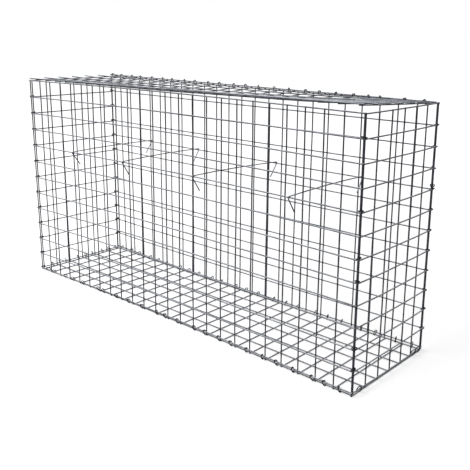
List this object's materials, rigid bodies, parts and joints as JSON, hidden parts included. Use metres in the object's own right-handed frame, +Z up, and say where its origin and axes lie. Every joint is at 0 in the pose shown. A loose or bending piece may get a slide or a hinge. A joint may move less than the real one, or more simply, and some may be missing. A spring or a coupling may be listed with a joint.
{
  "type": "welded mesh gabion basket",
  "caption": "Empty rectangular gabion basket of welded steel wire mesh with a hinged mesh lid, wire rings along its edges and hooked tie wires across it.",
  "frame": {"origin": "centre of the base at ground level", "axes": "+X along the basket's length, +Y from the front to the hinged back, +Z up"},
  "size_m": [1.8408, 0.4994, 0.9485],
  "materials": {
    "mesh_wire": "galvanised, dull",
    "ring_wire": "dark zinc, satin",
    "tie_wire": "galvanised, dull"
  },
  "bodies": {
    "basket": {"front_panel": "mesh_wire", "back_panel": "mesh_wire", "right_end_panel": "mesh_wire", "left_end_panel": "mesh_wire", "base_panel": "mesh_wire", "hinge_ring_1": "ring_wire", "hinge_ring_2": "ring_wire", "hinge_ring_3": "ring_wire", "hinge_ring_4": "ring_wire", "hinge_ring_5": "ring_wire", "hinge_ring_6": "ring_wire", "hinge_ring_7": "ring_wire", "hinge_ring_8": "ring_wire", "hinge_ring_9": "ring_wire", "hinge_ring_10": "ring_wire", "hinge_ring_11": "ring_wire", "hinge_ring_12": "ring_wire", "hinge_ring_13": "ring_wire", "hinge_ring_14": "ring_wire", "hinge_ring_15": "ring_wire", "hinge_ring_16": "ring_wire", "hinge_ring_17": "ring_wire", "hinge_ring_18": "ring_wire", "hinge_ring_19": "ring_wire", "hinge_ring_20": "ring_wire", "hinge_ring_21": "ring_wire", "hinge_ring_22": "ring_wire", "hinge_ring_23": "ring_wire", "hinge_ring_24": "ring_wire", "tie_wire_1": "tie_wire", "tie_wire_2": "tie_wire", "tie_wire_3": "tie_wire", "tie_wire_4": "tie_wire"},
    "lid": {"lid_panel": "mesh_wire"}
  },
  "joints": [
    {"name": "lid_hinge", "type": "hinge", "parent": "basket", "child": "lid", "pos_m": [0, 0.2286, 0.9369], "axis": [-1, 0, 0], "range_deg": [-1.2, 208.8]}
  ]
}
